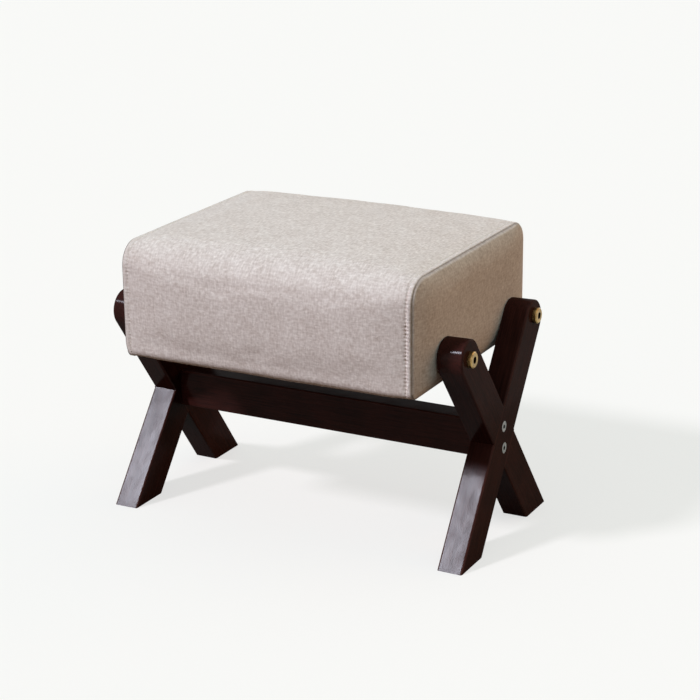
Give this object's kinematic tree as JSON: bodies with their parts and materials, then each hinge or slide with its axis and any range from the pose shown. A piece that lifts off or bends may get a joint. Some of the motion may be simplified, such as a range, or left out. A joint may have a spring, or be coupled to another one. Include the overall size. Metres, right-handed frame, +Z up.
{
  "type": "padded footstool",
  "caption": "Footstool with a crowned linen box seat bolted between dark wooden crossed-leg frames that a stretcher rail joins.",
  "frame": {"origin": "on the floor, under the middle of the seat and of the stretcher rail", "axes": "+Z up, +X along the stretcher rail towards the right-hand frame, +Y from the front face to the rear face of the seat"},
  "size_m": [0.3752, 0.2554, 0.2854],
  "materials": {
    "dark_wood": "espresso-stained hardwood under semi-gloss lacquer",
    "bolt_brass": "turned and plated, softly polished",
    "zinc_steel": "zinc-plated",
    "pale_board": "sawn pine and plywood, bare",
    "foam": "open-cell upholstery foam",
    "linen": "plain-woven linen blend, matt, speckled",
    "dust_cloth": "black non-woven cloth"
  },
  "bodies": {
    "root": {"left_front_leg": "dark_wood", "left_rear_leg": "dark_wood", "right_front_leg": "dark_wood", "right_rear_leg": "dark_wood", "stretcher_rail": "dark_wood", "seat_bolts": "bolt_brass", "crossing_screws": "zinc_steel", "bolt_inserts": "zinc_steel", "seat_front_board": "pale_board", "seat_rear_board": "pale_board", "seat_left_board": "pale_board", "seat_right_board": "pale_board", "seat_deck": "pale_board", "corner_blocks": "pale_board", "top_foam": "foam", "front_padding": "foam", "rear_padding": "foam", "left_padding": "foam", "right_padding": "foam", "cover_band": "linen", "left_end_panel": "linen", "right_end_panel": "linen", "dust_cover": "dust_cloth"}
  },
  "joints": []
}
